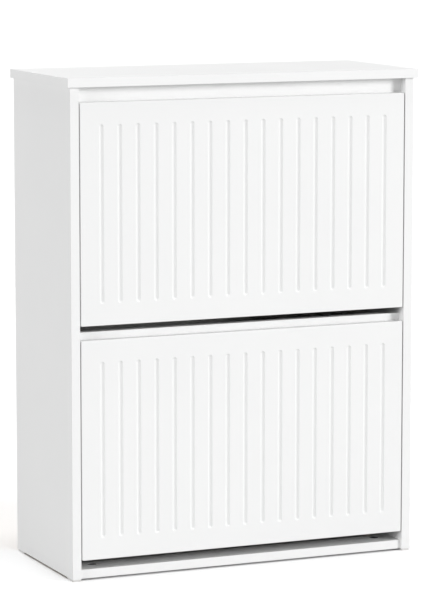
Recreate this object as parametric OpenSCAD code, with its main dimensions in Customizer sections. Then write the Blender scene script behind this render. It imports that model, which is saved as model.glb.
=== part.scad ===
// Slim two-flap shoe cabinet: a flat-pack carcass with two tilting fronts,
// each carrying a rack of two sloping shoe shelves.
// Millimetres. X is the width, Y runs from the front to the back, Z is up.
// The origin is on the floor, under the middle of the cabinet.

/* [Cabinet] */
// Width across the two side panels
body_w = 620; // [560:5:700]
// Height of the top surface above the floor
body_h = 828; // [820:1:850]
// Depth of the side panels
side_d = 266; // [262:1:290]
// Thickness of the carcass boards
board_t = 15; // [15:0.5:16]
// How far the top board stands out at the front and at each side
top_overhang = 6; // [0:1:20]
// Height of the underside of the base rails above the floor
floor_gap = 3; // [3:0.5:6]
// Depth of the front base rail
base_rail_d = 50; // [48:1:60]
// How far the front base rail is set back
base_recess = 5; // [0:0.5:6]

/* [Flaps] */
// Height of each tilting front
flap_h = 365; // [355:1:370]
// Thickness of each tilting front
flap_t = 15; // [15:0.5:16]
// Gap between a flap and the side panel at each end
flap_side_gap = 2; // [1.5:0.5:3]
// Gap between the base rails and the lower flap
base_gap = 16; // [14:0.5:18]
// Finger gap between the two flaps
finger_gap = 24; // [22:0.5:26]
// How far each flap tilts open, in degrees
open_angle = 42; // [36:1:44]

/* [Grooves] */
// Number of grooves across each flap
groove_count = 17; // [5:2:17]
// Spacing of the grooves
groove_pitch = 32; // [25:0.5:32]
// Width of a groove at the face
groove_w = 8; // [4:0.5:10]
// Depth of a groove
groove_depth = 2; // [1:0.25:3]
// Plain margin above and below the grooves
groove_margin = 36; // [25:1:60]

/* [Rails] */
// Height of the front rails and of the rear middle rail
rail_h = 50; // [44:1:50]
// How far the front rails stand behind the flap faces
rail_recess = 17; // [17:0.5:21]
// How far the middle front rail shows above the lower flap
rail_show = 12; // [8:0.5:12]
// Height of the wall-fixing rail under the top board
wall_rail_h = 70; // [60:1:90]
// Spacing of the two wall-fixing holes
wall_hole_spacing = 400; // [200:10:440]
// Diameter of the wall-fixing holes
wall_hole_d = 5; // [4:0.5:6]

/* [Back] */
// Thickness of the hardboard back
back_t = 3; // [2.5:0.5:3]
// Distance from the rear edge of the sides to the back's outer face
back_inset = 10; // [8:1:12]
// Depth of the grooves that hold the back
back_groove = 6; // [5:0.5:8]

/* [Racks] */
// Distance of the pivot behind the flap's face
pivot_back = 22; // [22:0.5:24]
// Height of the pivot above the flap's lower edge
pivot_up = 30; // [28:0.5:32]
// Radius of the rack's curved upper edge about the pivot
rack_r = 270; // [262:1:272]
// Depth of the rack behind the flap
rack_d = 230; // [220:1:230]
// How far the rack reaches below the pivot
rack_drop = 20; // [18:0.5:22]
// Wall thickness of the moulded rack sides
rack_wall = 3; // [2.5:0.5:3]
// Tilt of the closed shelves from upright, in degrees
shelf_tilt = 20; // [18:0.5:22]
// Length of each shelf along its slope
shelf_len = 195; // [180:1:195]
// Thickness of each shelf
shelf_t = 4; // [3:0.5:4]
// Distance of the front shelf's lower edge behind the pivot
front_shelf_back = 70; // [66:1:72]
// Distance between the two shelves
shelf_spacing = 81; // [78:1:82]
// Depth of the tray that the toes stand in
tray_d = 48; // [40:1:50]

/* [Fittings] */
// Diameter of the pivot pins
pivot_pin_d = 6; // [5:0.5:7]
// Running clearance between pivot pin and bush, on the radius
pivot_clearance = 0.05; // [0.02:0.01:0.1]
// Diameter of the stop pins
stop_pin_d = 6; // [5:0.5:6]
// Diameter of the cam locks
cam_d = 15; // [12:0.5:15]
// Distance from a joint face to the centre of its cam lock
cam_reach = 34; // [30:1:34]
// Diameter of the wooden dowels
dowel_d = 8; // [6:1:8]
// Height of the foot glides
glide_h = 3; // [2:0.5:3]

/* [Hidden] */

$fn = 48;
cut = 1;            // how far a cutting tool passes a face
slack = 0.1;        // play round a fitted piece, on the radius
facet_fn = 96;      // resolution of the large arcs

// Carcass planes
outer_x = body_w / 2;
inner_x = outer_x - board_t;
front_y = -(side_d - top_overhang) / 2;
rear_y = front_y + side_d;
top_front_y = front_y - top_overhang;
side_top = body_h - board_t;
base_top = floor_gap + board_t;
base_front_y = front_y + base_recess;
rear_base_rail_d = 60;
back_y = rear_y - back_inset - back_t;

// Flap positions
flap_half_w = inner_x - flap_side_gap;
flap_back_y = front_y + flap_t;
lower_flap_z = base_top + base_gap;
upper_flap_z = lower_flap_z + flap_h + finger_gap;
pivot_y = front_y + pivot_back;
lower_pivot_z = lower_flap_z + pivot_up;
upper_pivot_z = upper_flap_z + pivot_up;

// Rails: [front face, lower edge, height, side on which the cams open]
opens_rear = 1;
opens_front = -1;
back_joint_drop = 22;
rail_y = front_y + rail_recess;
back_joint_z = upper_flap_z - back_joint_drop;
top_front_rail_at = [rail_y, side_top - rail_h, rail_h, opens_rear];
middle_front_rail_at = [rail_y, lower_flap_z + flap_h + rail_show - rail_h, rail_h, opens_rear];
wall_rail_at = [back_y - board_t, side_top - wall_rail_h, wall_rail_h, opens_front];
middle_rear_rail_at = [back_y - board_t, back_joint_z - rail_h / 2, rail_h, opens_front];
rails = [top_front_rail_at, middle_front_rail_at, wall_rail_at, middle_rear_rail_at];
wall_hole_z = side_top - wall_rail_h / 2;

// Knock-down fittings
cam_depth = 12.5;
cam_sink = 0.4;
cam_front_margin = 39.5;
cam_rear_margin = 45;
dowel_spacing = 34;
base_dowel_spacing = 24;
cam_ys = [front_y + cam_front_margin, rear_y - cam_rear_margin];
dowel_ys = [cam_ys[0] + dowel_spacing, cam_ys[1] - dowel_spacing];
base_dowel_ys = [cam_ys[0] - base_dowel_spacing, cam_ys[1] + base_dowel_spacing];
cam_recess = [9, 1.4, 2.2];
rail_fixing_offset = 12;
bolt_channel_d = 8;
bolt_shank_d = 6;
bolt_neck_d = 3.6;
bolt_thread_d = 5;
bolt_thread_len = 11;
bolt_head_len = 3;
bolt_neck_len = 5;
dowel_face_depth = 11;
dowel_edge_depth = 21;
dowel_end_play = 1;
nail_d = 1.4;
nail_len = 15;
nail_head_d = 3.2;
nail_head_h = 0.8;
nail_columns = 6;
nail_margin = 18;
nail_row_offset = 7;
nail_edge = 12;
bumper_d = 10;
bumper_gap = 0.3;
bumper_margin = 60;
bumper_x = outer_x - bumper_margin;
glide_len = 28;
glide_w = 14;
glide_corner = 2;
glide_inset = 1;

// Rack geometry, from the pivot: Y to the rear, Z up
rack_front = flap_t - pivot_back;
rack_side_gap = 1;
rack_outer_x = flap_half_w - rack_side_gap;
rack_inner_x = rack_outer_x - rack_wall;
rim_t = 2.5;
rim_w = 7;
flange_w = 24;
flange_h = 255;
shelf_z = -4;
shelf_ys = [front_shelf_back, front_shelf_back + shelf_spacing];
shelf_play = 0.2;
shelf_end_gap = 0.5;
slot_rib_t = 2;
slot_rib_w = 8;
slot_rib_start = 16;
slot_rib_end_gap = 4;
tray_t = 2.5;
tray_lip = 12;
ledge_t = 2.3;
ledge_gap = 0.2;
boss_d = 13;
boss_len = 10;
bush_d = 10;
bush_len = 10;
bush_flange_d = 18;
bush_flange_t = 1.5;
pin_grip = 8;
pin_end_play = 0.5;
screw_d = 3.5;
screw_head_d = 8;
screw_head_t = 2.5;
screw_bite = 11;
screw_recess = [4.4, 1, 1.2];
screw_count = 4;
screw_first_z = 24;
screw_pitch = 74;
lug_r = rack_r + 9;
lug_start = 47.5;
lug_end = 50.8;
stop_r = rack_r + 5;
stop_gap_angle = 0.12;
stop_pin_angle = lug_start - open_angle - asin(stop_pin_d / 2 / stop_r) - stop_gap_angle;
stop_pin_bite = 10;
stop_pin_reach = 7;

// Colours
foil_white = [0.96, 0.96, 0.95];
board_white = [0.94, 0.94, 0.93];
hardboard = [0.80, 0.72, 0.60];
plastic_white = [0.90, 0.90, 0.88];
plastic_grey = [0.62, 0.63, 0.64];
zinc = [0.30, 0.30, 0.31];
steel = [0.75, 0.76, 0.78];
beech = [0.80, 0.66, 0.46];
rubber_clear = [0.85, 0.87, 0.88];
plastic_pale = [0.80, 0.80, 0.79];

// ---- Shared shapes ----

// Box between two opposite corners
module block(low, high) {
    translate(low) cube(high - low);
}

// A right-hand shape and its mirror image on the left
module both_sides() {
    children();
    mirror([1, 0, 0]) children();
}

// Crossed slots [length, width, depth] sunk into a head whose top is at the origin
module cross_recess(size) {
    for (turn = [0, 90]) rotate(turn)
        translate([-size[0] / 2, -size[1] / 2, -size[2]]) cube([size[0], size[1], size[2] + cut]);
}

// Rod along X from x0 to x1
module rod_x(d, x0, x1) {
    translate([x0, 0, 0]) rotate([0, 90, 0]) cylinder(d = d, h = x1 - x0);
}

// Rod along Y from y0 to y1
module rod_y(d, y0, y1) {
    translate([0, y0, 0]) rotate([-90, 0, 0]) cylinder(d = d, h = y1 - y0);
}

// Flat Y-Z outline given a thickness along X
module plate_x(x0, x1) {
    translate([x0, 0, 0]) rotate([90, 0, 90]) linear_extrude(x1 - x0) children();
}

// ---- Joint frames on the right-hand side ----
// Origin on the joint face, +X into the receiving panel, +Z the way the cam opens

module at_base_cams() {
    for (y = cam_ys) translate([inner_x, y, floor_gap + board_t / 2]) children();
}

module at_top_cams() {
    for (y = cam_ys) translate([outer_x - board_t / 2, y, side_top]) rotate([0, -90, 0]) children();
}

module at_rail_cam(rail) {
    translate([inner_x, rail[0] + board_t / 2, rail[1] + rail[2] / 2 + rail_fixing_offset])
        rotate([-90 * rail[3], 0, 0]) children();
}

module at_base_dowels() {
    for (y = base_dowel_ys) translate([inner_x, y, floor_gap + board_t / 2]) children();
}

module at_top_dowels() {
    for (y = dowel_ys) translate([outer_x - board_t / 2, y, side_top]) rotate([0, -90, 0]) children();
}

module at_rail_dowel(rail) {
    translate([inner_x, rail[0] + board_t / 2, rail[1] + rail[2] / 2 - rail_fixing_offset]) children();
}

module at_all_cams() {
    at_base_cams() children();
    at_top_cams() children();
    for (rail = rails) at_rail_cam(rail) children();
}

module at_all_dowels() {
    at_base_dowels() children();
    at_top_dowels() children();
    for (rail = rails) at_rail_dowel(rail) children();
}

// Holes in the board that carries the cam
module cam_bores() {
    translate([-cam_reach, 0, board_t / 2 - cam_depth]) cylinder(d = cam_d, h = cam_depth + cut);
    rod_x(bolt_channel_d, -cam_reach, cut);
}

// Hole for the bolt's thread in the receiving panel
module thread_bore() {
    rod_x(bolt_thread_d + 2 * slack, -cut, bolt_thread_len + slack);
}

// Dowel hole, from the receiving panel's face into that panel
module dowel_face_bore() {
    rod_x(dowel_d + 2 * slack, -cut, dowel_face_depth);
}

// Dowel hole in the edge of the joining board
module dowel_edge_bore() {
    rod_x(dowel_d + 2 * slack, -dowel_edge_depth, cut);
}

// ---- Carcass ----

// Right-hand side panel
module side_panel() {
    difference() {
        block([inner_x, front_y, glide_h], [outer_x, rear_y, side_top]);
        block([inner_x - cut, back_y - slack, glide_h - cut],
              [inner_x + back_groove + slack, back_y + back_t + slack, side_top + cut]);
        at_base_cams() thread_bore();
        at_base_dowels() dowel_face_bore();
        at_top_cams() cam_bores();
        at_top_dowels() dowel_edge_bore();
        for (rail = rails) {
            at_rail_cam(rail) thread_bore();
            at_rail_dowel(rail) dowel_face_bore();
        }
        for (z = [lower_pivot_z, upper_pivot_z]) at_pivot(z) {
            rod_x(bush_d, inner_x - cut, inner_x + bush_len + slack);
            at_stop_pin() rod_x(stop_pin_d, inner_x - cut, inner_x + stop_pin_bite);
        }
    }
}

module top_board() {
    color(foil_white) difference() {
        block([-outer_x - top_overhang, top_front_y, side_top], [outer_x + top_overhang, rear_y, body_h]);
        block([-inner_x - back_groove - slack, back_y - slack, side_top - cut],
              [inner_x + back_groove + slack, back_y + back_t + slack, side_top + back_groove + slack]);
        both_sides() {
            at_top_cams() thread_bore();
            at_top_dowels() dowel_face_bore();
        }
    }
}

// Rail lying flat between the side panels, from y0 to y1
module base_rail(y0, y1) {
    color(board_white) difference() {
        block([-inner_x, y0, floor_gap], [inner_x, y1, base_top]);
        block([-inner_x - cut, back_y - slack, base_top - back_groove - slack],
              [inner_x + cut, back_y + back_t + slack, base_top + cut]);
        both_sides() {
            at_base_cams() cam_bores();
            at_base_dowels() dowel_edge_bore();
        }
    }
}

module front_base_rail() {
    base_rail(base_front_y, base_front_y + base_rail_d);
}

module rear_base_rail() {
    base_rail(rear_y - rear_base_rail_d, rear_y);
}

// Upright rail between the side panels, with its cam and dowel holes
module rail_body(rail) {
    color(board_white) difference() {
        block([-inner_x, rail[0], rail[1]], [inner_x, rail[0] + board_t, rail[1] + rail[2]]);
        both_sides() {
            at_rail_cam(rail) cam_bores();
            at_rail_dowel(rail) dowel_edge_bore();
        }
        children();
    }
}

module wall_holes() {
    both_sides() translate([wall_hole_spacing / 2, 0, wall_hole_z])
        rod_y(wall_hole_d, back_y - board_t - cut, back_y + back_t + cut);
}

module top_front_rail() {
    rail_body(top_front_rail_at);
}

module middle_front_rail() {
    rail_body(middle_front_rail_at);
}

module wall_rail() {
    rail_body(wall_rail_at) {
        wall_holes();
        nail_holes(wall_nail_zs);
    }
}

module middle_rear_rail() {
    rail_body(middle_rear_rail_at) nail_holes(joint_nail_zs);
}

// Rows of nails that hold the back to the two rear rails
wall_nail_zs = [side_top - wall_rail_h + nail_edge];
joint_nail_zs = [back_joint_z - nail_row_offset, back_joint_z + nail_row_offset];

module at_nails(zs) {
    span = 2 * (inner_x - nail_margin);
    for (z = zs) for (i = [0 : nail_columns - 1])
        translate([span * (i / (nail_columns - 1) - 0.5), back_y + back_t, z]) children();
}

module nail_holes(zs) {
    at_nails(zs) rod_y(nail_d, -nail_len - slack, cut);
}

// Hardboard panel standing in the carcass grooves between two heights
module back_panel(z0, z1) {
    color(hardboard) difference() {
        block([-inner_x - back_groove, back_y, z0], [inner_x + back_groove, back_y + back_t, z1]);
        wall_holes();
        nail_holes(wall_nail_zs);
        nail_holes(joint_nail_zs);
    }
}

module back_panel_upper() {
    back_panel(back_joint_z + slack, side_top + back_groove);
}

module back_panel_lower() {
    back_panel(base_top - back_groove, back_joint_z - slack);
}

// Rounded rectangle standing on the X axis
module glide_outline() {
    flat_w = glide_w - 2 * glide_corner;
    flat_len = glide_len - 2 * glide_corner;
    for (x = [-flat_w / 2, flat_w / 2]) for (y = [glide_corner, glide_corner + flat_len])
        translate([x, y]) circle(r = glide_corner);
    translate([-glide_w / 2, glide_corner]) square([glide_w, flat_len]);
    translate([-flat_w / 2, 0]) square([flat_w, glide_len]);
}

module foot_glides() {
    color(plastic_pale) both_sides() for (y = [front_y + glide_inset, rear_y - glide_inset - glide_len])
        translate([outer_x - board_t / 2, y, 0]) linear_extrude(glide_h) glide_outline();
}

// ---- Knock-down fittings ----

module cam_lock() {
    translate([-cam_reach, 0, 0]) difference() {
        translate([0, 0, board_t / 2 - cam_depth + slack])
            cylinder(d = cam_d - 2 * slack, h = cam_depth - cam_sink - slack);
        rod_x(bolt_shank_d + 2 * slack, -bolt_head_len - slack, cam_d);
        translate([0, 0, board_t / 2 - cam_sink]) cross_recess(cam_recess);
    }
}

module cam_bolt() {
    neck_x = -cam_reach + bolt_neck_len;
    rod_x(bolt_thread_d, -slack, bolt_thread_len);
    rod_x(bolt_shank_d, neck_x, 0);
    rod_x(bolt_neck_d, -cam_reach, neck_x);
    rod_x(bolt_shank_d, -cam_reach - bolt_head_len, -cam_reach);
}

module cam_locks() {
    color(zinc) both_sides() at_all_cams() cam_lock();
}

module cam_bolts() {
    color(steel) both_sides() at_all_cams() cam_bolt();
}

module wood_dowels() {
    color(beech) both_sides() at_all_dowels()
        rod_x(dowel_d, dowel_end_play - dowel_edge_depth, dowel_face_depth - dowel_end_play);
}

module back_nails() {
    color(steel) at_nails(concat(wall_nail_zs, joint_nail_zs)) {
        rod_y(nail_d, -nail_len, 0);
        rod_y(nail_head_d, 0, nail_head_h);
    }
}

module pivot_bushes() {
    color(plastic_grey) both_sides() for (z = [lower_pivot_z, upper_pivot_z]) at_pivot(z) difference() {
        union() {
            rod_x(bush_d, inner_x, inner_x + bush_len);
            rod_x(bush_flange_d, inner_x - bush_flange_t, inner_x);
        }
        rod_x(pivot_pin_d + 2 * pivot_clearance, inner_x - bush_flange_t - cut, inner_x + bush_len + cut);
    }
}

module stop_pins() {
    color(steel) both_sides() for (z = [lower_pivot_z, upper_pivot_z]) at_pivot(z)
        at_stop_pin() rod_x(stop_pin_d, inner_x - stop_pin_reach, inner_x + stop_pin_bite);
}

module flap_bumpers() {
    color(rubber_clear) both_sides() for (rail = [top_front_rail_at, middle_front_rail_at])
        translate([bumper_x, 0, rail[1] + rail_h / 4])
            rod_y(bumper_d, flap_back_y + bumper_gap, rail_y);
}

// ---- Tilting fronts and their racks ----

// Frame on a pivot axis
module at_pivot(z) {
    translate([0, pivot_y, z]) children();
}

// Direction at an angle back from upright, as [y, z]
function polar(angle, r) = [r * sin(angle), r * cos(angle)];

module at_stop_pin() {
    p = polar(stop_pin_angle, stop_r);
    translate([0, p[0], p[1]]) children();
}

module at_rack_screws() {
    for (i = [0 : screw_count - 1])
        translate([rack_inner_x - flange_w / 2, rack_front + rack_wall, screw_first_z + i * screw_pitch])
            children();
}

module at_shelf(i) {
    translate([0, shelf_ys[i], shelf_z]) rotate([shelf_tilt, 0, 0]) children();
}

// Round-bottomed groove with round ends, standing on the flap's lower edge
module groove() {
    r = (groove_w * groove_w / 4 + groove_depth * groove_depth) / (2 * groove_depth);
    end = groove_margin + groove_w / 2;
    translate([0, groove_depth - r, 0]) {
        translate([0, 0, end]) cylinder(r = r, h = flap_h - 2 * end);
        for (z = [end, flap_h - end]) translate([0, 0, z]) sphere(r = r);
    }
}

module flap_panel(flap_z) {
    color(foil_white) difference() {
        block([-flap_half_w, front_y, flap_z], [flap_half_w, flap_back_y, flap_z + flap_h]);
        for (i = [0 : groove_count - 1])
            translate([(i - (groove_count - 1) / 2) * groove_pitch, front_y, flap_z]) groove();
        both_sides() at_pivot(flap_z + pivot_up) at_rack_screws() rod_y(screw_d, -rack_wall - screw_bite, 0);
    }
}

// Rack outline about the pivot, drawn in by the given amount
module rack_outline(inset) {
    intersection() {
        circle(r = rack_r - inset, $fn = facet_fn);
        translate([rack_front + inset, inset - rack_drop]) square([rack_d - 2 * inset, rack_r + rack_drop]);
    }
}

// Lug at the rear of the curved edge that meets the stop pin
module stop_lug_outline() {
    reach = 2 * lug_r;
    intersection() {
        difference() {
            circle(r = lug_r, $fn = facet_fn);
            circle(r = rack_r - rim_t, $fn = facet_fn);
        }
        polygon([[0, 0], polar(lug_start, reach), polar(lug_end, reach)]);
    }
}

// Ribs and ledge that hold one shelf and its tray
module shelf_seat() {
    for (y = [-slot_rib_t - shelf_play, shelf_t + shelf_play])
        block([rack_inner_x - slot_rib_w, y, slot_rib_start],
              [rack_inner_x, y + slot_rib_t, shelf_len - slot_rib_end_gap]);
    block([rack_inner_x - slot_rib_w, 0, -tray_t - ledge_gap - ledge_t],
          [rack_inner_x, tray_d, -tray_t - ledge_gap]);
}

// Right-hand moulded rack side, from the pivot
module rack_side() {
    difference() {
        union() {
            plate_x(rack_inner_x, rack_outer_x) {
                rack_outline(0);
                stop_lug_outline();
            }
            plate_x(rack_inner_x - rim_w, rack_inner_x) difference() {
                rack_outline(0);
                rack_outline(rim_t);
            }
            block([rack_inner_x - flange_w, rack_front, -rack_drop],
                  [rack_inner_x, rack_front + rack_wall, flange_h]);
            rod_x(boss_d, rack_inner_x - boss_len, rack_inner_x);
            for (i = [0, 1]) at_shelf(i) shelf_seat();
        }
        rod_x(pivot_pin_d, rack_inner_x - pin_grip, rack_outer_x + cut);
        at_rack_screws() rod_y(screw_d + 2 * slack, -rack_wall - cut, cut);
    }
}

module rack_side_right(flap_z) {
    color(plastic_white) at_pivot(flap_z + pivot_up) rack_side();
}

module rack_side_left(flap_z) {
    mirror([1, 0, 0]) rack_side_right(flap_z);
}

module shelf(flap_z, i) {
    half = rack_inner_x - shelf_end_gap;
    color(board_white) at_pivot(flap_z + pivot_up) at_shelf(i)
        block([-half, 0, 0], [half, shelf_t, shelf_len]);
}

// Channel under a shelf's lower edge, with a lip at the front and at the rear
module toe_tray(flap_z, i) {
    half = rack_inner_x - shelf_end_gap;
    color(plastic_grey) at_pivot(flap_z + pivot_up) at_shelf(i) {
        block([-half, -tray_t - shelf_play, -tray_t], [half, tray_d, 0]);
        block([-half, -tray_t - shelf_play, -tray_t], [half, -shelf_play, tray_lip]);
        block([-half, tray_d - tray_t, -tray_t], [half, tray_d, tray_lip]);
    }
}

module pivot_pins(flap_z) {
    color(steel) both_sides() at_pivot(flap_z + pivot_up)
        rod_x(pivot_pin_d, rack_inner_x - pin_grip, inner_x + bush_len - pin_end_play);
}

module rack_screws(flap_z) {
    color(steel) both_sides() at_pivot(flap_z + pivot_up) at_rack_screws() difference() {
        union() {
            rod_y(screw_d, -rack_wall - screw_bite, 0);
            rod_y(screw_head_d, 0, screw_head_t);
        }
        translate([0, screw_head_t, 0]) rotate([-90, 0, 0]) cross_recess(screw_recess);
    }
}

color(foil_white) mirror([1, 0, 0]) side_panel();  // side_panel_left
color(foil_white) side_panel();  // side_panel_right
top_board();
front_base_rail();
rear_base_rail();
top_front_rail();
middle_front_rail();
wall_rail();
middle_rear_rail();
back_panel_upper();
back_panel_lower();
foot_glides();
cam_locks();
cam_bolts();
wood_dowels();
back_nails();
pivot_bushes();
stop_pins();
flap_bumpers();
flap_panel(upper_flap_z);  // upper_flap_panel
rack_side_left(upper_flap_z);  // upper_rack_side_left
rack_side_right(upper_flap_z);  // upper_rack_side_right
shelf(upper_flap_z, 0);  // upper_front_shelf
shelf(upper_flap_z, 1);  // upper_rear_shelf
toe_tray(upper_flap_z, 0);  // upper_front_toe_tray
toe_tray(upper_flap_z, 1);  // upper_rear_toe_tray
pivot_pins(upper_flap_z);  // upper_pivot_pins
rack_screws(upper_flap_z);  // upper_rack_screws
flap_panel(lower_flap_z);  // lower_flap_panel
rack_side_left(lower_flap_z);  // lower_rack_side_left
rack_side_right(lower_flap_z);  // lower_rack_side_right
shelf(lower_flap_z, 0);  // lower_front_shelf
shelf(lower_flap_z, 1);  // lower_rear_shelf
toe_tray(lower_flap_z, 0);  // lower_front_toe_tray
toe_tray(lower_flap_z, 1);  // lower_rear_toe_tray
pivot_pins(lower_flap_z);  // lower_pivot_pins
rack_screws(lower_flap_z);  // lower_rack_screws
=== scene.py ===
"""The looks of a white two-flap shoe cabinet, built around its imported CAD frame.

Metres, in the row frame: X is the width, -Y the front, Z up, origin on the floor under the middle.
The boards, racks and fittings are the CAD's own meshes, with softened edges and procedural
materials.
The two grooved flap panels are built here, with rounded edges and smoothly pressed grooves.
"""
import math

import bmesh
import bpy
from mathutils import Euler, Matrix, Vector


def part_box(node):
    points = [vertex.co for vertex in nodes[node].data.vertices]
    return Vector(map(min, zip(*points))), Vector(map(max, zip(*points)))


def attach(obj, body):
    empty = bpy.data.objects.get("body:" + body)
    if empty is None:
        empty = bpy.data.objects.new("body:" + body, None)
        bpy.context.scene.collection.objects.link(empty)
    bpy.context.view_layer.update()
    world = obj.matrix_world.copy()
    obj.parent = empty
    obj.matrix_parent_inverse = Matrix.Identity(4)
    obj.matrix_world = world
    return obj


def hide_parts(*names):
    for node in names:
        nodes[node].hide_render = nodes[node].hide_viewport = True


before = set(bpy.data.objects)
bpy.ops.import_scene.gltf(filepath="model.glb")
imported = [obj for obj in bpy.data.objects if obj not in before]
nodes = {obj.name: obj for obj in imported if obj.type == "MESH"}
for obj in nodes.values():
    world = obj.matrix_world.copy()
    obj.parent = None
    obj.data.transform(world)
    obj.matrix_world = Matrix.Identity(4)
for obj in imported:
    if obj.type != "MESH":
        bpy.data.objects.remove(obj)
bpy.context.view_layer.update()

MM = 0.001
FLAPS = ("upper_flap", "lower_flap")
HANDS = ("left", "right")

# Grooves of a flap, as the CAD has them
GROOVE_COUNT = 17
GROOVE_PITCH = 32 * MM
GROOVE_WIDTH = 8 * MM
GROOVE_DEPTH = 2 * MM
GROOVE_MARGIN = 36 * MM         # from a groove's end to the flap's edge
SHOULDER_SOFTNESS = 0.14 * MM   # the foil bridges the groove's shoulders

# Edges of a flap
FRONT_ROUND = 1 * MM
BACK_ROUND = 0.6 * MM
CORNER_ROUND = 1 * MM

# Steps and tolerances of the flap's mesh
END_STEPS = 16                  # facets round each groove's end
CORNER_STEPS = 4                # facets round each corner of the panel's outline
FRONT_STEPS = 5                 # facets across the rounded front edge
BACK_STEPS = 3                  # facets across the rounded back edge
MERGE_DISTANCE = 0.001 * MM
COORDINATE_DIGITS = 9           # two columns that agree to this many digits are one

# Edges of the CAD pieces
SHARP_ANGLE = 35                # degrees; only sharper edges are rounded
EDGE_SEGMENTS = 3
WELD_DISTANCE = 0.002 * MM
BOARD_EDGE = 0.5 * MM
BAND_THICKNESS = 1 * MM         # front edge band of a board
BAND_SEAM = 0.25 * MM

# Parts of a noise's range that are stretched to full contrast
CLOUD_RANGE = (0.35, 0.65)
GRAIN_RANGE = (0.3, 0.7)
FACING_COSINE = 0.7             # a surface within about 45 degrees of a direction faces it


# ---------------------------------------------------------------- materials

class Paint:
    """A procedural material: its node tree, its shader, and short calls that add nodes."""

    def __init__(self, name, colour, roughness, more=None):
        self.material = bpy.data.materials.new(name)
        self.material.use_nodes = True
        self.tree = self.material.node_tree
        self.shader = self.tree.nodes["Principled BSDF"]
        self.shader.inputs["Base Color"].default_value = (*colour, 1)
        self.shader.inputs["Roughness"].default_value = roughness
        for socket, value in (more or {}).items():
            self.shader.inputs[socket].default_value = value
        self.material.diffuse_color = (*colour, 1)
        self.coords = self.tree.nodes.new("ShaderNodeTexCoord")
        self.place = self.coords.outputs["Object"]
        self.relief = None

    def add(self, kind, settings=None, **inputs):
        """Adds a node with these settings; each input is a value or another node's output."""
        node = self.tree.nodes.new("ShaderNode" + kind)
        for name, value in (settings or {}).items():
            setattr(node, name, value)
        for name, value in inputs.items():
            self.feed(node.inputs[name.replace("_", " ")], value)
        return node

    def feed(self, socket, value):
        """Links another node's output to the socket, or sets the socket's own value."""
        if isinstance(value, bpy.types.NodeSocket):
            self.tree.links.new(value, socket)
        else:
            socket.default_value = value

    def maths(self, operation, *values):
        """The result of a Math node."""
        node = self.add("Math", {"operation": operation})
        for socket, value in zip(node.inputs, values):
            self.feed(socket, value)
        return node.outputs[0]

    def stretched(self, stretch):
        """Object coordinates, multiplied by stretch along X, Y and Z."""
        return self.add("Mapping", Vector=self.place, Scale=stretch).outputs[0]

    def noise(self, size, detail=2.0, stretch=(1, 1, 1), roughness=0.5):
        """Soft noise with lumps about size metres across."""
        return self.add("TexNoise", Vector=self.stretched(stretch), Scale=1 / size,
                        Detail=detail, Roughness=roughness).outputs[0]

    def chips(self, size):
        """A random grey for each flake, flakes about size metres across."""
        cells = self.add("TexVoronoi", Vector=self.place, Scale=1 / size)
        return self.add("SeparateColor", Color=cells.outputs["Color"]).outputs[0]

    def span(self, value, low, high, to_low=0.0, to_high=1.0):
        """Value mapped from low..high to to_low..to_high, clamped."""
        return self.add("MapRange", Value=value, From_Min=low, From_Max=high,
                        To_Min=to_low, To_Max=to_high).outputs[0]

    def blend(self, share, first, second):
        """First where share is 0, second where it is 1; colours.
        A colour Mix has its share in socket 0, its colours in 6 and 7, and its result in 2."""
        node = self.add("Mix", {"data_type": "RGBA"})
        for index, value in ((0, share), (6, first), (7, second)):
            if isinstance(value, tuple):
                value = (*value, 1)
            self.feed(node.inputs[index], value)
        return node.outputs[2]

    def between(self, share, first, second):
        """First where share is 0, second where it is 1; numbers, in sockets 2 and 3."""
        node = self.add("Mix", {"data_type": "FLOAT"})
        for index, value in ((0, share), (2, first), (3, second)):
            self.feed(node.inputs[index], value)
        return node.outputs[0]

    def facing(self, direction):
        """1 where the surface faces along direction, in the object's own space."""
        along = self.add("VectorMath", {"operation": "DOT_PRODUCT"})
        self.feed(along.inputs[0], self.coords.outputs["Normal"])
        self.feed(along.inputs[1], tuple(direction))
        return self.maths("GREATER_THAN", along.outputs["Value"], FACING_COSINE)

    def any_of(self, masks):
        """1 where any of the masks is 1."""
        total = 0.0
        for mask in masks:
            total = self.maths("MAXIMUM", total, mask)
        return total

    def line(self, axis, at, width):
        """1 on a line of that width where the object's axis coordinate is at."""
        split = self.add("SeparateXYZ", Vector=self.place)
        return self.maths("COMPARE", split.outputs[axis], at, width / 2)

    def bump(self, height, depth):
        """Raises the surface by up to depth metres where height is 1, on top of earlier bumps."""
        node = self.add("Bump", Height=height, Distance=depth)
        if self.relief is not None:
            self.feed(node.inputs["Normal"], self.relief)
        self.relief = node.outputs[0]
        self.feed(self.shader.inputs["Normal"], self.relief)

    def colour(self, value):
        """Feeds the shader's colour."""
        self.feed(self.shader.inputs["Base Color"], value)

    def rough(self, value):
        """Feeds the shader's roughness."""
        self.feed(self.shader.inputs["Roughness"], value)


WHITE = (0.875, 0.878, 0.876)
WHITES = (WHITE, (0.862, 0.865, 0.864))
# Painted light: a brighter copy of the board white, standing in for light that reaches the
# recessed front rails
RAIL_WHITES_PAINTED_LIGHT = ((0.915, 0.917, 0.915), (0.905, 0.907, 0.906))
CHIP_DARK = (0.33, 0.215, 0.115)
CHIP_LIGHT = (0.68, 0.53, 0.34)
GLUE_LINE = (0.60, 0.585, 0.56)
FIBRE_DARK = (0.30, 0.175, 0.085)
FIBRE_LIGHT = (0.47, 0.31, 0.17)
BEECH = (0.62, 0.42, 0.25)
BEECH_DARK = (0.52, 0.33, 0.18)
BEECH_LIGHT = (0.70, 0.50, 0.31)
BEECH_FLECK = (0.38, 0.22, 0.12)
HAZE = (0.93, 0.95, 0.95)
HAZE_DARK = (0.90, 0.93, 0.93)
HAZE_LIGHT = (0.97, 0.98, 0.98)

DIRECTIONS = {"+y": (0, 1, 0), "-y": (0, -1, 0), "+z": (0, 0, 1), "-z": (0, 0, -1)}


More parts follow.
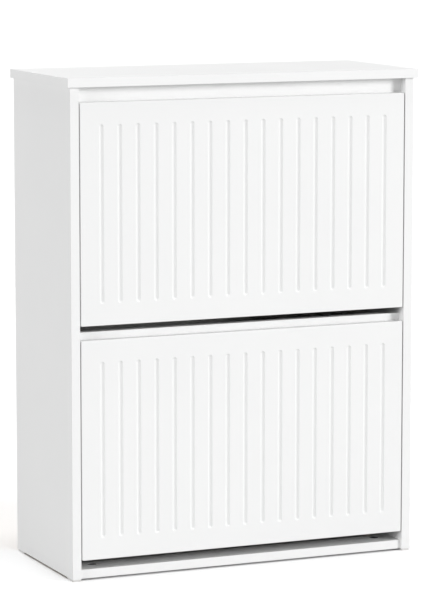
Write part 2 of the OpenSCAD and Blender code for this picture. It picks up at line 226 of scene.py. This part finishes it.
def cloudy_white(paint, tones=WHITES):
    """A white that wanders between two close tones."""
    cloud = paint.noise(180 * MM, detail=3)
    return paint.blend(paint.span(cloud, *CLOUD_RANGE), *tones)


def pearl_relief(paint, grain, depth):
    """The fine pearl that is printed or pressed on a board, as a bump; returns its noise."""
    pearl = paint.noise(grain, detail=3)
    paint.bump(pearl, depth)
    return pearl


def melamine(name, raw=(), band=None, tones=WHITES):
    """White melamine board. raw lists the directions of its bare chipboard edges; band is the
    axis and place of the glue line behind its front edge band."""
    paint = Paint(name, WHITE, roughness=0.45)
    white = cloudy_white(paint, tones)
    pearl = pearl_relief(paint, grain=0.9 * MM, depth=0.012 * MM)
    gloss = paint.span(pearl, *GRAIN_RANGE, to_low=0.42, to_high=0.50)
    if band is not None:
        seam = paint.line(*band, BAND_SEAM)
        white = paint.blend(seam, white, GLUE_LINE)
    if raw:
        bare = paint.any_of([paint.facing(DIRECTIONS[side]) for side in raw])
        flakes = paint.chips(2.6 * MM)
        fines = paint.noise(0.7 * MM, detail=4)
        tone = paint.maths("MULTIPLY_ADD", flakes, 0.7, paint.maths("MULTIPLY", fines, 0.5))
        chip = paint.blend(paint.span(tone, low=0.1, high=1.0), CHIP_DARK, CHIP_LIGHT)
        chip_roughness = 0.92
        white = paint.blend(bare, white, chip)
        gloss = paint.between(bare, gloss, chip_roughness)
        paint.bump(paint.maths("MULTIPLY", bare, tone), depth=0.35 * MM)
    paint.colour(white)
    paint.rough(gloss)
    return paint.material


def foil():
    """Satin white foil pressed over fibreboard."""
    paint = Paint("white_foil", WHITE, roughness=0.4)
    white = cloudy_white(paint)
    pearl = pearl_relief(paint, grain=1.6 * MM, depth=0.01 * MM)
    paint.bump(paint.noise(28 * MM, detail=2), depth=0.05 * MM)
    paint.colour(white)
    paint.rough(paint.span(pearl, *GRAIN_RANGE, to_low=0.36, to_high=0.44))
    return paint.material


def hardboard(name, white_sides=()):
    """Thin hardboard: lacquered white towards white_sides, brown pressed fibre elsewhere."""
    bare_roughness = 0.78
    paint = Paint(name, FIBRE_LIGHT, bare_roughness)
    pearl = pearl_relief(paint, grain=1.2 * MM, depth=0.02 * MM)
    specks = paint.noise(0.8 * MM, detail=5, roughness=0.7)
    strands = paint.noise(3 * MM, detail=4, stretch=(1, 1, 0.35))
    clouds = paint.noise(120 * MM, detail=3)
    tone = paint.maths("MULTIPLY_ADD", specks, 0.6, paint.maths("MULTIPLY", strands, 0.5))
    tone = paint.maths("MULTIPLY_ADD", clouds, 0.25, tone)
    colour = paint.blend(paint.span(tone, low=0.45, high=0.95), FIBRE_DARK, FIBRE_LIGHT)
    fuzz = specks
    if white_sides:
        lacquered = paint.any_of([paint.facing(side) for side in white_sides])
        gloss = paint.span(pearl, *GRAIN_RANGE, to_low=0.40, to_high=0.50)
        colour = paint.blend(lacquered, colour, cloudy_white(paint))
        fuzz = paint.maths("MULTIPLY", paint.maths("SUBTRACT", 1.0, lacquered), specks)
        paint.rough(paint.between(lacquered, bare_roughness, gloss))
    paint.bump(fuzz, depth=0.12 * MM)
    paint.colour(colour)
    return paint.material


def moulded(name, dark, light, grain, roughness):
    """Injection-moulded plastic with a spark-eroded texture."""
    paint = Paint(name, light, roughness)
    texture = paint.noise(grain, detail=2)
    cloud = paint.noise(60 * MM, detail=2)
    paint.colour(paint.blend(paint.span(cloud, *CLOUD_RANGE), dark, light))
    paint.rough(paint.span(texture, *GRAIN_RANGE, roughness - 0.06, roughness + 0.06))
    paint.bump(texture, depth=0.04 * MM)
    return paint.material


def extruded(name, dark, light):
    """Extruded plastic, with fine die lines along X."""
    paint = Paint(name, light, roughness=0.42)
    lines = paint.noise(0.8 * MM, detail=3, stretch=(0.004, 1, 1))
    paint.colour(paint.blend(paint.span(lines, *CLOUD_RANGE), dark, light))
    paint.rough(paint.span(lines, *GRAIN_RANGE, to_low=0.36, to_high=0.48))
    paint.bump(lines, depth=0.03 * MM)
    return paint.material


def metal(name, dark, light, grain, roughness, depth):
    """Cast or plated metal with a mottled tone."""
    paint = Paint(name, light, roughness, {"Metallic": 1.0})
    skin = paint.noise(grain, detail=4)
    bloom = paint.noise(7 * MM, detail=3)
    paint.colour(paint.blend(paint.span(bloom, *GRAIN_RANGE), dark, light))
    paint.rough(paint.span(skin, *GRAIN_RANGE, roughness - 0.08, roughness + 0.1))
    paint.bump(skin, depth)
    return paint.material


def beech():
    """Straight-grained beech along X, with short dark ray flecks."""
    paint = Paint("beech", BEECH, roughness=0.6)
    grain = paint.noise(1.1 * MM, detail=4, stretch=(0.08, 1, 1))
    rays = paint.noise(0.5 * MM, detail=2, stretch=(0.25, 1, 1))
    wood = paint.blend(paint.span(grain, *GRAIN_RANGE), BEECH_DARK, BEECH_LIGHT)
    paint.colour(paint.blend(paint.span(rays, low=0.58, high=0.66), wood, BEECH_FLECK))
    paint.rough(paint.span(grain, *GRAIN_RANGE, to_low=0.55, to_high=0.7))
    paint.bump(grain, depth=0.08 * MM)
    return paint.material


def clear_rubber():
    """Soft clear bumper, slightly hazy."""
    clear = {"Transmission Weight": 0.8, "IOR": 1.45}
    paint = Paint("clear_rubber", HAZE, roughness=0.25, more=clear)
    haze = paint.noise(0.9 * MM, detail=3)
    paint.colour(paint.blend(paint.span(haze, *GRAIN_RANGE), HAZE_DARK, HAZE_LIGHT))
    paint.rough(paint.span(haze, *GRAIN_RANGE, to_low=0.18, to_high=0.34))
    paint.bump(haze, depth=0.02 * MM)
    return paint.material


# ---------------------------------------------------------------- CAD pieces

def soften(piece, width):
    """Rounds the sharp edges of a CAD mesh and keeps its flat faces flat."""
    weld = piece.modifiers.new("weld", "WELD")
    weld.merge_threshold = WELD_DISTANCE
    bevel = piece.modifiers.new("edges", "BEVEL")
    bevel.width = width
    bevel.segments = EDGE_SEGMENTS
    bevel.limit_method = "ANGLE"
    bevel.angle_limit = math.radians(SHARP_ANGLE)
    bevel.miter_outer = "MITER_ARC"
    bevel.harden_normals = False
    normals = piece.modifiers.new("normals", "WEIGHTED_NORMAL")
    normals.keep_sharp = True
    piece.data.shade_smooth()


def paint_piece(name, material, edge=0):
    """Gives a CAD piece its material, and rounds its edges by edge metres."""
    piece = nodes[name]
    piece.data.materials.clear()
    piece.data.materials.append(material)
    if edge:
        soften(piece, edge)


def broad_direction(piece):
    """The normal of a board's two large faces, from its largest triangle."""
    largest = max(piece.data.polygons, key=lambda face: face.area)
    return largest.normal.copy()


front_band_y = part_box("side_panel_left")[0].y + BAND_THICKNESS
base_band_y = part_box("front_base_rail")[0].y + BAND_THICKNESS
top_band_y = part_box("top_board")[0].y + BAND_THICKNESS

side_board = melamine("melamine_side", raw=("+y", "-z", "+z"), band=("Y", front_band_y))
top_board = melamine("melamine_top", raw=("+y",), band=("Y", top_band_y))
# The front rails take the brighter whites, which paint light on them
base_rail = melamine("melamine_base", raw=("+y",), band=("Y", base_band_y), tones=RAIL_WHITES_PAINTED_LIGHT)
front_rail = melamine("melamine_rail", tones=RAIL_WHITES_PAINTED_LIGHT)
rear_rail = melamine("melamine_rear_rail", raw=("-z", "+z"))
rear_base_rail = melamine("melamine_rear_base", raw=("-y", "+y"))

for hand in HANDS:
    paint_piece(f"side_panel_{hand}", side_board, edge=BOARD_EDGE)
paint_piece("top_board", top_board, edge=0.8 * MM)
paint_piece("front_base_rail", base_rail, edge=BOARD_EDGE)
paint_piece("rear_base_rail", rear_base_rail, edge=BOARD_EDGE)
for rail in ("top_front_rail", "middle_front_rail"):
    paint_piece(rail, front_rail, edge=BOARD_EDGE)
for rail in ("wall_rail", "middle_rear_rail"):
    paint_piece(rail, rear_rail, edge=BOARD_EDGE)

# The back panels keep their sharp edges: rounding their nail holes would mark the flat face.
back_face = hardboard("hardboard_back")
for level in ("upper", "lower"):
    paint_piece(f"back_panel_{level}", back_face)

shelf_normal = broad_direction(nodes["upper_front_shelf"])
shelf_face = hardboard("hardboard_shelf", white_sides=(shelf_normal, -shelf_normal))
rack_plastic = moulded("rack_plastic", dark=(0.80, 0.80, 0.785), light=(0.84, 0.84, 0.825),
                       grain=0.7 * MM, roughness=0.5)
tray_plastic = extruded("tray_plastic", dark=(0.33, 0.335, 0.345), light=(0.40, 0.405, 0.415))
bush_plastic = moulded("bush_nylon", dark=(0.30, 0.305, 0.31), light=(0.36, 0.365, 0.37),
                       grain=0.5 * MM, roughness=0.45)
glide_plastic = moulded("glide_nylon", dark=(0.70, 0.70, 0.69), light=(0.76, 0.76, 0.75),
                        grain=0.6 * MM, roughness=0.42)
# Painted shade: the zinc is coloured far darker than bare zinc alloy, as dark as the cam locks
# look in the shade they sit in
zinc = metal("zinc_alloy", dark=(0.10, 0.10, 0.105), light=(0.20, 0.20, 0.205),
             grain=0.4 * MM, roughness=0.5, depth=0.04 * MM)
steel = metal("plated_steel", dark=(0.55, 0.56, 0.60), light=(0.72, 0.71, 0.68),
              grain=0.6 * MM, roughness=0.26, depth=0.006 * MM)

for flap in FLAPS:
    level = flap.removesuffix("_flap")
    for hand in HANDS:
        paint_piece(f"{level}_rack_side_{hand}", rack_plastic, edge=0.5 * MM)
    for row in ("front", "rear"):
        paint_piece(f"{level}_{row}_shelf", shelf_face, edge=0.3 * MM)
        paint_piece(f"{level}_{row}_toe_tray", tray_plastic, edge=0.3 * MM)
    paint_piece(f"{level}_pivot_pins", steel, edge=0.3 * MM)
    paint_piece(f"{level}_rack_screws", steel, edge=0.12 * MM)

paint_piece("foot_glides", glide_plastic, edge=0.3 * MM)
paint_piece("cam_locks", zinc, edge=0.2 * MM)
paint_piece("cam_bolts", steel, edge=0.15 * MM)
paint_piece("wood_dowels", beech(), edge=0.5 * MM)
paint_piece("back_nails", steel, edge=0.1 * MM)
paint_piece("pivot_bushes", bush_plastic, edge=0.2 * MM)
paint_piece("stop_pins", steel, edge=0.3 * MM)
paint_piece("flap_bumpers", clear_rubber(), edge=0.4 * MM)


# ---------------------------------------------------------------- flap panels

def groove_depth(distance):
    """Depth of the pressed groove at a distance from its centre line."""
    half = GROOVE_WIDTH / 2
    radius = (half ** 2 + GROOVE_DEPTH ** 2) / (2 * GROOVE_DEPTH)
    arc = math.sqrt(radius ** 2 - distance ** 2) - (radius - GROOVE_DEPTH)
    return SHOULDER_SOFTNESS * math.log(1 + math.exp(arc / SHOULDER_SOFTNESS))


def groove_rings():
    """Distances from the centre line at which a groove's surface is cut into rings: shares of
    its half width across the floor, and steps of the softness across the shoulder."""
    half = GROOVE_WIDTH / 2
    floor_rings = [half * share for share in (0.2, 0.4, 0.6, 0.75, 0.86)]
    steps = (-2, -1, -0.3, 0.3, 1, 2, 3.5)
    return floor_rings + [half + step * SHOULDER_SOFTNESS for step in steps]


def stadium(centre, low, high, radius):
    """Points anticlockwise round a groove's outline: up the right, over the top, down the left."""
    points = []
    for end, start in ((high, 0.0), (low, math.pi)):
        for step in range(END_STEPS + 1):
            angle = start + math.pi * step / END_STEPS
            points.append((centre + radius * math.cos(angle), end + radius * math.sin(angle)))
    return points


def cell_outline(centre, bottom, top):
    """The edge of a groove's own strip of face, with a point for each point of stadium()."""
    half = GROOVE_PITCH / 2
    points = []
    for level, way in ((top, -1), (bottom, 1)):
        for step in range(END_STEPS + 1):
            points.append((centre + way * half * (2 * step / END_STEPS - 1), level))
    return points


def panel_outline(left, right, bottom, top, column_xs):
    """Base points and outward directions round the panel's face, anticlockwise from its lower
    right corner."""
    sides = (
        ((right, bottom), -90, []),
        ((right, top), 0, [(x, top) for x in reversed(column_xs)]),
        ((left, top), 90, []),
        ((left, bottom), 180, [(x, bottom) for x in column_xs]),
    )
    outline = []
    for corner, start, along in sides:
        for step in range(CORNER_STEPS + 1):
            angle = math.radians(start + 90 * step / CORNER_STEPS)
            outline.append((corner, (math.cos(angle), math.sin(angle))))
        facing = math.radians(start + 90)
        outline += [(point, (math.cos(facing), math.sin(facing))) for point in along]
    return outline


def flap_panel(name, low, high):
    """A pressed flap panel that fills the box low..high: grooved face, rounded edges and a
    flat back."""
    mesh = bmesh.new()
    inset = FRONT_ROUND + CORNER_ROUND
    left, right = low.x + inset, high.x - inset
    bottom, top = low.z + inset, high.z - inset
    face_bottom, face_top = bottom - CORNER_ROUND, top + CORNER_ROUND
    groove_low = low.z + GROOVE_MARGIN + GROOVE_WIDTH / 2
    groove_high = high.z - GROOVE_MARGIN - GROOVE_WIDTH / 2
    middle = (low.x + high.x) / 2

    def ring(points, depth):
        return [mesh.verts.new((x, low.y + depth, z)) for x, z in points]

    def join(inner, outer):
        count = len(inner)
        for i in range(count):
            j = (i + 1) % count
            mesh.faces.new((inner[i], inner[j], outer[j], outer[i]))

    column_xs = set()
    for index in range(GROOVE_COUNT):
        centre = middle + (index - (GROOVE_COUNT - 1) / 2) * GROOVE_PITCH
        inner = ring(stadium(centre, groove_low, groove_high, 0), groove_depth(0))
        for distance in groove_rings():
            contour = stadium(centre, groove_low, groove_high, distance)
            outer = ring(contour, groove_depth(distance))
            join(inner, outer)
            inner = outer
        cell = cell_outline(centre, face_bottom, face_top)
        join(inner, ring(cell, 0))
        column_xs |= {round(x, COORDINATE_DIGITS) for x, _ in cell}

    outline = panel_outline(left, right, bottom, top, sorted(column_xs))

    def edge_ring(growth, depth):
        reach = CORNER_ROUND + growth
        return ring([(x + reach * dx, z + reach * dz) for (x, z), (dx, dz) in outline], depth)

    # The face's right and left margins: two corners, and one column's point on either side
    inner = edge_ring(0, 0)
    margin_points = 2 * (CORNER_STEPS + 1) + 2
    for start in (0, len(inner) // 2):
        mesh.faces.new([inner[start - 1 + step] for step in range(margin_points)])
    thickness = high.y - low.y
    for step in range(1, FRONT_STEPS + 1):
        angle = step / FRONT_STEPS * math.pi / 2
        outer = edge_ring(FRONT_ROUND * math.sin(angle), FRONT_ROUND * (1 - math.cos(angle)))
        join(inner, outer)
        inner = outer
    for step in range(BACK_STEPS + 1):
        angle = step / BACK_STEPS * math.pi / 2
        growth = FRONT_ROUND - BACK_ROUND * (1 - math.cos(angle))
        outer = edge_ring(growth, thickness - BACK_ROUND * (1 - math.sin(angle)))
        join(inner, outer)
        inner = outer
    mesh.faces.new(inner)

    bmesh.ops.remove_doubles(mesh, verts=mesh.verts, dist=MERGE_DISTANCE)
    bmesh.ops.recalc_face_normals(mesh, faces=mesh.faces)
    data = bpy.data.meshes.new(name)
    mesh.to_mesh(data)
    mesh.free()
    data.shade_smooth()
    panel = bpy.data.objects.new(name, data)
    bpy.context.scene.collection.objects.link(panel)
    panel.modifiers.new("normals", "WEIGHTED_NORMAL")
    return panel


flap_foil = foil()
for flap in FLAPS:
    panel = flap_panel(f"{flap}_front", *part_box(f"{flap}_panel"))
    panel.data.materials.append(flap_foil)
    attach(panel, flap)
    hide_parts(f"{flap}_panel")


# ---------------------------------------------------------------- stage, light and camera

FLOOR_SIZE = 400
FLOOR_WHITE = (0.97, 0.97, 0.97)
FLOOR_TONES = ((0.96, 0.96, 0.96), (0.98, 0.98, 0.98))
FLOOR_BOUNCE = (0.5, 0.5, 0.5, 1)
SUN_SPREAD = 20                 # degrees across each light; softens the shadows


def floor():
    """A large pale floor. It looks near white, and throws half of its light back up."""
    bpy.ops.mesh.primitive_plane_add(size=FLOOR_SIZE)
    plane = bpy.context.object
    plane.name = "floor"
    paint = Paint("floor", FLOOR_WHITE, roughness=0.9)
    cloud = paint.noise(size=2, detail=2)
    paint.colour(paint.blend(cloud, *FLOOR_TONES))
    bounce = paint.add("BsdfDiffuse", Color=FLOOR_BOUNCE)
    seen = paint.add("LightPath").outputs["Is Camera Ray"]
    both = paint.add("MixShader", Fac=seen)
    paint.feed(both.inputs[1], bounce.outputs[0])
    paint.feed(both.inputs[2], paint.shader.outputs[0])
    paint.feed(paint.tree.nodes["Material Output"].inputs["Surface"], both.outputs[0])
    plane.data.materials.append(paint.material)


def skylight(name, azimuth, elevation, strength):
    """Even light from azimuth degrees to the right of the front and elevation degrees up.
    A strength of 1 alone would light a facing white surface to full white."""
    lamp = bpy.data.lights.new(name, "SUN")
    lamp.angle = math.radians(SUN_SPREAD)
    lamp.energy = strength * math.pi
    holder = bpy.data.objects.new(name, lamp)
    bpy.context.scene.collection.objects.link(holder)
    holder.rotation_euler = Euler((math.radians(90 - elevation), 0, math.radians(azimuth)))


def white_room(ambient):
    """Even white surroundings: pure white to the camera, and of ambient strength as a light."""
    world = bpy.data.worlds.new("studio")
    world.use_nodes = True
    tree = world.node_tree
    backdrop = tree.nodes["Background"]
    backdrop.inputs["Color"].default_value = (1, 1, 1, 1)
    seen = tree.nodes.new("ShaderNodeLightPath")
    strength = tree.nodes.new("ShaderNodeMix")
    as_light, as_seen = strength.inputs[2], strength.inputs[3]
    as_light.default_value = ambient
    as_seen.default_value = 1.0
    tree.links.new(seen.outputs["Is Camera Ray"], strength.inputs[0])
    tree.links.new(strength.outputs[0], backdrop.inputs["Strength"])
    bpy.context.scene.world = world


def photo_camera(eye, yaw, pitch, lens):
    """A camera turned yaw degrees to the right and tipped pitch degrees down, without roll."""
    data = bpy.data.cameras.new("camera")
    data.lens = lens
    camera = bpy.data.objects.new("camera", data)
    bpy.context.scene.collection.objects.link(camera)
    camera.location = eye
    camera.rotation_euler = Euler((math.radians(90 - pitch), 0, math.radians(-yaw)))
    bpy.context.scene.camera = camera


floor()
white_room(ambient=0.3)
skylight("key", azimuth=45, elevation=12, strength=0.68)
skylight("side_fill", azimuth=-74, elevation=12, strength=0.42)
skylight("back_fill", azimuth=180, elevation=20, strength=0.36)
skylight("top_light", azimuth=0, elevation=88, strength=0.51)
bpy.context.scene.view_settings.view_transform = "Standard"
photo_camera(eye=(-2.0833, -4.7751, 1.1507), yaw=23.528, pitch=7.824, lens=185.35)
